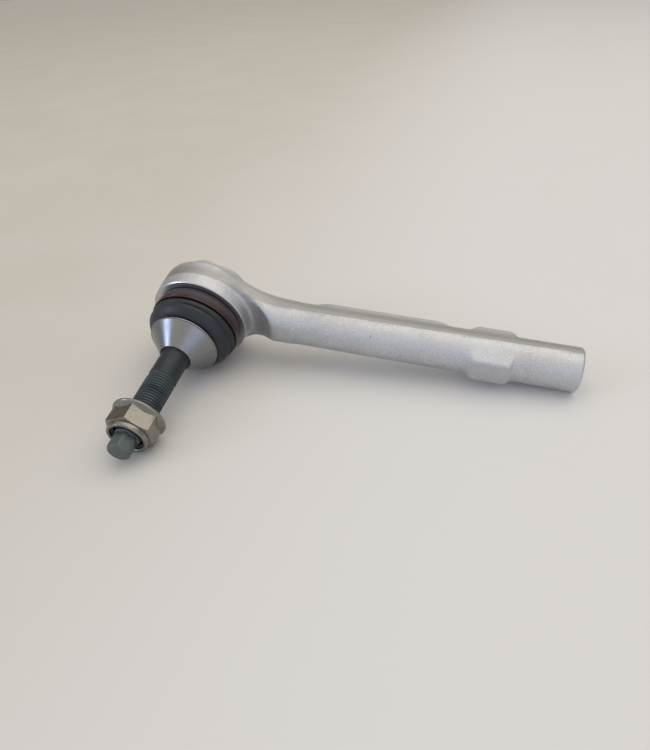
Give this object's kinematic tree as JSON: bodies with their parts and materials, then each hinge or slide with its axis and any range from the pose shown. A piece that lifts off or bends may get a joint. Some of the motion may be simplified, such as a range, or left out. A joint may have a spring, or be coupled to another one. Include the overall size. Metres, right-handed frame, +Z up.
{
  "type": "tie rod end",
  "caption": "Straight outer tie rod end: internally threaded rod with wrench flats, booted ball joint, threaded stud with seat cone and flange nut.",
  "frame": {"origin": "centre of the ball joint's ball, on the rod's axis", "axes": "+X along the rod towards its threaded end, -Y along the head's axis on the stud side, +Z up; at rest the stud hangs 4 degrees above -Y, turned about X"},
  "size_m": [0.2194, 0.1146, 0.0522],
  "materials": {
    "housing": "satin, forged and blasted",
    "bearing_shell": "natural acetal",
    "pressure_cap": "natural acetal",
    "preload_spring": "blued spring steel",
    "closing_plate": "zinc plated",
    "boot_clamp_ring": "dark red lacquered steel",
    "dust_boot": "satin black rubber",
    "boot_neck_ring": "spring steel wire",
    "ball_stud": "black phosphate",
    "seat_cone": "fine turned, bright",
    "lock_insert": "dark polyamide",
    "flange_nut": "zinc nickel, satin"
  },
  "bodies": {
    "housing": {"housing": "housing", "bearing_shell": "bearing_shell", "pressure_cap": "pressure_cap", "preload_spring": "preload_spring", "closing_plate": "closing_plate", "boot_clamp_ring": "boot_clamp_ring"},
    "boot": {"dust_boot": "dust_boot"},
    "boot_neck": {"boot_neck_ring": "boot_neck_ring"},
    "stud": {"ball_stud": "ball_stud", "seat_cone": "seat_cone"},
    "nut_slider": {"lock_insert": "lock_insert"},
    "nut": {"flange_nut": "flange_nut"}
  },
  "joints": [
    {"name": "tilt_up_down", "type": "hinge", "parent": "housing", "child": "boot", "pos_m": [0, 0, 0], "axis": [1, 0, 0], "range_deg": [-14, 22], "deforming": ["dust_boot"]},
    {"name": "tilt_sideways", "type": "hinge", "parent": "boot", "child": "boot_neck", "pos_m": [0, 0, 0], "axis": [0, 0.0698, 0.9976], "range_deg": [-18, 18], "deforming": ["dust_boot"]},
    {"name": "stud_spin", "type": "hinge", "parent": "boot_neck", "child": "stud", "pos_m": [0, 0, 0], "axis": [0, -0.9976, 0.0698], "continuous": true},
    {"name": "nut_travel", "type": "slide", "parent": "stud", "child": "nut_slider", "axis": [0, -0.9976, 0.0698], "range_m": [-0.021, 0.024]},
    {"name": "nut_spin", "type": "hinge", "parent": "nut_slider", "child": "nut", "pos_m": [0, -0.0838, 0.00586], "axis": [0, -0.9976, 0.0698], "range_deg": [-5041, 5761]}
  ],
  "couplings": [
    {"joint": "nut_spin", "follows": "nut_travel", "rad_per_m": 4188.8}
  ]
}
